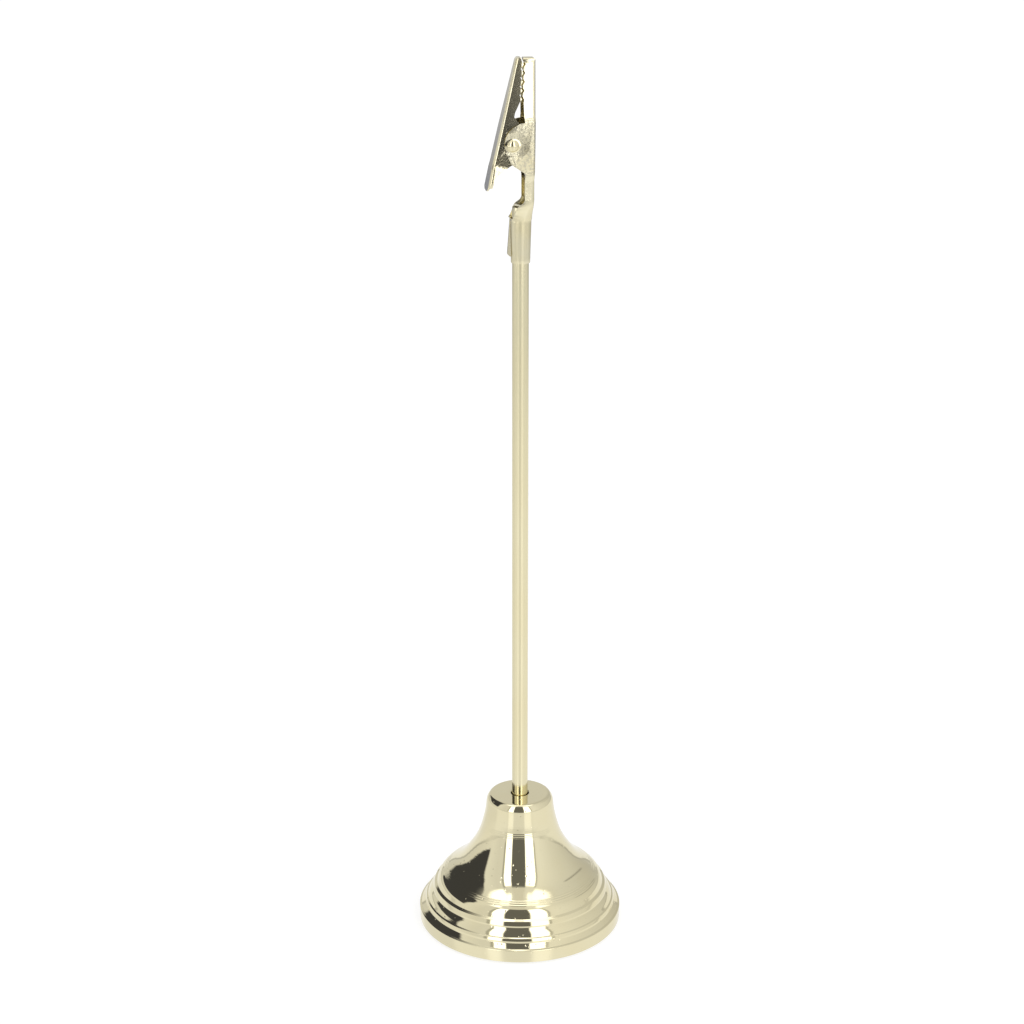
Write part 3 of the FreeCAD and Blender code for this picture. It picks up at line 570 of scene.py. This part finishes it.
def build_spring(steel):
    """The coil round the pin, one leg on the neck and one inside the moving jaw's back."""
    wire, radius, pitch = 0.35, 1.8, 0.78
    lean = math.radians(13.2)
    slope = pitch / (2 * math.pi * radius)
    neck_inside, neck_down = 2.5, 10.2
    jaw_inside, jaw_down = 3.1, 8.5
    play = 0.12
    neck = Vector((neck_inside - PIN[0] - wire, -neck_down))
    side = wire + play - jaw_inside
    jaw_x = side * math.cos(lean) - jaw_down * math.sin(lean)
    jaw_y = -side * math.sin(lean) - jaw_down * math.cos(lean)
    jaw = Vector((jaw_x, jaw_y))
    first = math.atan2(neck.y, neck.x) + math.acos(radius / neck.length)
    last = math.atan2(jaw.y, jaw.x) - math.acos(radius / jaw.length)
    turns = 3 + ((last - first) / (2 * math.pi)) % 1
    count = int(turns * 36)
    coil = []
    for k in range(count + 1):
        angle = first + turns * 2 * math.pi * k / count
        along = turns * pitch * (k / count - 0.5)
        coil.append(Vector((radius * math.cos(angle), radius * math.sin(angle), along)))
    neck_way = -Vector((-math.sin(first), math.cos(first), slope))
    jaw_way = Vector((-math.sin(last), math.cos(last), slope))
    neck_length = math.sqrt(neck.length_squared - radius ** 2)
    jaw_length = math.sqrt(jaw.length_squared - radius ** 2)
    pieces = 12
    neck_leg = [coil[0] + neck_way * neck_length * (1 - k / pieces) for k in range(pieces)]
    jaw_leg = [coil[-1] + jaw_way * jaw_length * (k / pieces) for k in range(1, pieces + 1)]
    path = [((PIN[0] + p.x) * MM, -p.z * MM, (PIN[1] + p.y) * MM) for p in (*neck_leg, *coil, *jaw_leg)]
    spring = tube("coil_spring", path, wire * MM, steel)
    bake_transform(spring)
    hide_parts("torsion_spring")


def build_clip(gold, rivet_metal, steel):
    dress("fixed_jaw", gold, 0.00013)
    dress("moving_jaw", gold, 0.00013)
    build_rivet(rivet_metal)
    build_spring(steel)


# ---------------------------------------------------------------- studio
def studio_world():
    """A pale room: two tall softboxes, a dark gap between them, and a dark corner on the left.

    Angles are in degrees round the room from the front, and above the floor.
    """
    world = bpy.data.worlds.new("studio")
    world.use_nodes = True
    bpy.context.scene.world = world
    tree = Tree(world.node_tree)
    way = tree.add("ShaderNodeTexCoord").outputs["Generated"]
    azimuth = tree.bearing(way)
    up = tree.add("ShaderNodeSeparateXYZ", {0: way}).outputs["Z"]
    elevation = tree.math("DEGREES", tree.math("ARCSINE", up))

    def hang(light, panels):
        """Puts panels over the light: left, right, bottom, top, soft edge sideways and upright, colour."""
        for left, right, bottom, top, soft, soft_up, shown in panels:
            sides = tree.band(azimuth, left - soft, left + soft, right - soft, right + soft)
            ends = tree.band(elevation, bottom - soft_up, bottom + soft_up, top - soft_up, top + soft_up)
            light = tree.mix(tree.math("MULTIPLY", sides, ends), light, shown)
        return light

    ceiling_grey = colour(0.78, 0.77, 0.75)
    ceiling_left, ceiling_right = colour(2.2, 2.2, 2.2), colour(2.0, 2.0, 2.0)
    frame_left, frame_right = colour(0.48, 0.48, 0.46), colour(0.55, 0.55, 0.53)
    softbox, low_panel = colour(2.3, 2.3, 2.35), colour(2.2, 2.2, 2.2)

    walls = tree.levels_round(azimuth, [
        (-180, 0.72), (-150, 0.72), (-75, 0.88), (-55, 0.80), (-20, 0.84),
        (50, 0.95), (80, 0.84), (112, 0.74), (150, 0.58), (180, 0.72),
    ])
    beyond = tree.levels_round(azimuth, [
        (-180, 0.30), (-140, 0.31), (-112, 0.44), (-88, 0.72), (-55, 0.64), (-20, 0.84),
        (40, 0.93), (60, 0.60), (100, 0.50), (140, 0.38), (180, 0.33),
    ])
    aside = tree.math("ABSOLUTE", azimuth)
    cool = tree.mix(tree.fade(aside, 45.0, 110.0), colour(1, 1, 1), colour(0.90, 0.95, 1.2))
    cooled = tree.add("ShaderNodeMix", {0: 1.0, 6: beyond, 7: cool}, data_type="RGBA", blend_type="MULTIPLY")
    light = tree.mix(tree.fade(elevation, -8.0, -1.0), cooled.outputs[2], walls)
    light = hang(light, [
        (-22, 15, 58, 82, 5, 4, ceiling_grey),
        (-90, -46, 63, 95, 4, 3, ceiling_left),
        (42, 92, 63, 95, 4, 3, ceiling_right),
        (-60, -30, 72, 95, 4, 3, ceiling_left),
        (28, 60, 72, 95, 4, 3, ceiling_right),
    ])
    light = tree.mix(tree.fade(elevation, 82.0, 88.0), light, ceiling_left)

    # the dark corner leans away from the front above 44 degrees, and its top is lost in shadow
    over = tree.math("MAXIMUM", tree.math("SUBTRACT", elevation, 44.0), 0.0)
    leaning = tree.math("ADD", azimuth, tree.math("MULTIPLY", over, 0.8))
    left_side = tree.fade(azimuth, -147.0, -142.0)
    right_side = tree.fade(leaning, -78.0, -83.0)
    corner = tree.math("MULTIPLY", left_side, right_side)
    corner = tree.math("MULTIPLY", corner, tree.band(elevation, 9.0, 12.0, 50.0, 71.0))
    light = tree.mix(corner, light, colour(0.055, 0.056, 0.064))

    # a thin sloping rail on the right
    sloped = tree.math("MULTIPLY", tree.math("SUBTRACT", elevation, 28.0), 1.4)
    rail = tree.band(tree.math("ADD", azimuth, sloped), 117.0, 119.5, 120.5, 123.0)
    rail = tree.math("MULTIPLY", rail, tree.band(elevation, 13.0, 18.0, 38.0, 44.0))
    light = tree.mix(rail, light, colour(0.40, 0.40, 0.40))

    light = hang(light, [
        (-42, -36, 4, 60, 1.5, 3, frame_left),
        (36, 41, 4, 60, 1.5, 3, frame_right),
        (-20, 14, -26, 60, 1.2, 3, tree.fade(elevation, -4.0, 3.0, 0.055, 0.155)),
        (-37, -21, -6, 57, 1.5, 2, softbox),
        (15, 37, -6, 57, 1.5, 2, softbox),
        (-80, -21, -26, -6, 2, 2, low_panel),
        (15, 58, -26, -6, 2, 2, low_panel),
    ])
    seen = tree.add("ShaderNodeLightPath").outputs["Is Camera Ray"]
    light = tree.mix(seen, light, colour(1.05, 1.05, 1.05))
    background = tree.add("ShaderNodeBackground", {"Color": light, "Strength": 1.0})
    tree.show(background, "ShaderNodeOutputWorld")


def studio_floor():
    """A round white table top with a low lip, which glows a little so that shadows on it stay faint.

    Metal sees it as slightly darker away from the object, with a soft sheen of the softboxes on it.
    """
    material, tree = new_material("white_table")
    place = tree.add("ShaderNodeTexCoord").outputs["Object"]
    away = tree.add("ShaderNodeVectorMath", {0: place}, operation="LENGTH").outputs["Value"]
    grain = tree.noise(place, 40.0, 3.0)
    white = tree.mix(grain, colour(0.36, 0.36, 0.36), colour(0.38, 0.38, 0.38))
    paint = tree.add("ShaderNodeBsdfDiffuse", {"Color": white})
    glow = tree.add("ShaderNodeEmission", {"Color": colour(1, 1, 1), "Strength": 0.74})
    shown = tree.add("ShaderNodeAddShader", {0: paint.outputs[0], 1: glow.outputs[0]})
    near = tree.fade(away, 0.25, 0.7, 0.84, 0.66)
    # painted light: the table's glow as metal sees it is brighter and darker by bearing round the object,
    # standing in for the room's light falling on it
    far = tree.levels_round(tree.bearing(place), [
        (-180, 0.52), (-125, 0.50), (-108, 0.60), (-88, 0.80), (-66, 0.70), (-45, 0.62),
        (-26, 0.84), (-13, 0.74), (0, 0.70), (14, 0.88), (28, 0.96), (45, 0.76),
        (58, 0.68), (80, 0.82), (110, 0.55), (130, 0.48), (180, 0.52),
    ])
    level = tree.mix(tree.fade(away, 0.45, 0.8), near, far)
    lit = tree.add("ShaderNodeEmission", {"Color": level, "Strength": 1.0})
    dull = tree.mix(tree.fade(away, 0.4, 0.8), colour(0.15, 0.15, 0.15), colour(0.02, 0.02, 0.02))
    sheen = tree.add("ShaderNodeBsdfGlossy", {"Color": dull, "Roughness": 0.22})
    mirrored = tree.add("ShaderNodeAddShader", {0: lit.outputs[0], 1: sheen.outputs[0]})
    seen = tree.add("ShaderNodeLightPath").outputs["Is Camera Ray"]
    both = tree.add("ShaderNodeMixShader", {0: seen, 1: mirrored.outputs[0], 2: shown.outputs[0]})
    tree.show(both)

    outline = [(0.6, -0.0001), (0.8, 0.008), (0.9, 0.03)]
    segments = 128
    mesh = bpy.data.meshes.new("table")
    bm = bmesh.new()
    rings = []
    for radius, height in outline:
        turns = np.linspace(0, 2 * math.pi, segments, endpoint=False)
        rings.append([bm.verts.new((radius * math.cos(a), radius * math.sin(a), height)) for a in turns])
    bm.faces.new(rings[0])
    for low, high in zip(rings, rings[1:]):
        for k in range(segments):
            nxt = (k + 1) % segments
            bm.faces.new((low[k], low[nxt], high[nxt], high[k])).smooth = True
    bm.to_mesh(mesh)
    bm.free()
    new_object("table", mesh, material)


def studio_camera():
    """A long lens on the left of the front, looking down by 19.5 degrees."""
    tilt, heading = math.radians(70.5), math.radians(-8.0)
    data = bpy.data.cameras.new("view")
    data.lens = 79.8
    data.sensor_width = 36.0
    camera = bpy.data.objects.new("view", data)
    camera.location = (-0.07505, -0.5196, 0.2970)
    camera.rotation_euler = Euler((tilt, 0, heading))
    bpy.context.scene.collection.objects.link(camera)
    bpy.context.scene.camera = camera


# ---------------------------------------------------------------- build
scene = bpy.context.scene
scene.view_settings.view_transform = "Standard"
scene.view_settings.look = "None"

clip_gold = stamped_gold()
zinc = drawn_steel("zinc_steel", colour(0.66, 0.67, 0.69), colour(0.55, 0.56, 0.58), (300.0, 300.0, 1500.0))
wire_light, wire_dark = colour(0.50, 0.48, 0.45), colour(0.36, 0.34, 0.31)
spring_wire = drawn_steel("spring_wire", wire_light, wire_dark, (1200.0, 1200.0, 1200.0))
build_base(spun_gold(), raw_iron(), black_foam(), zinc)
build_rod(drawn_gold())
build_clip(clip_gold, rivet_gold(), spring_wire)
studio_world()
studio_floor()
studio_camera()
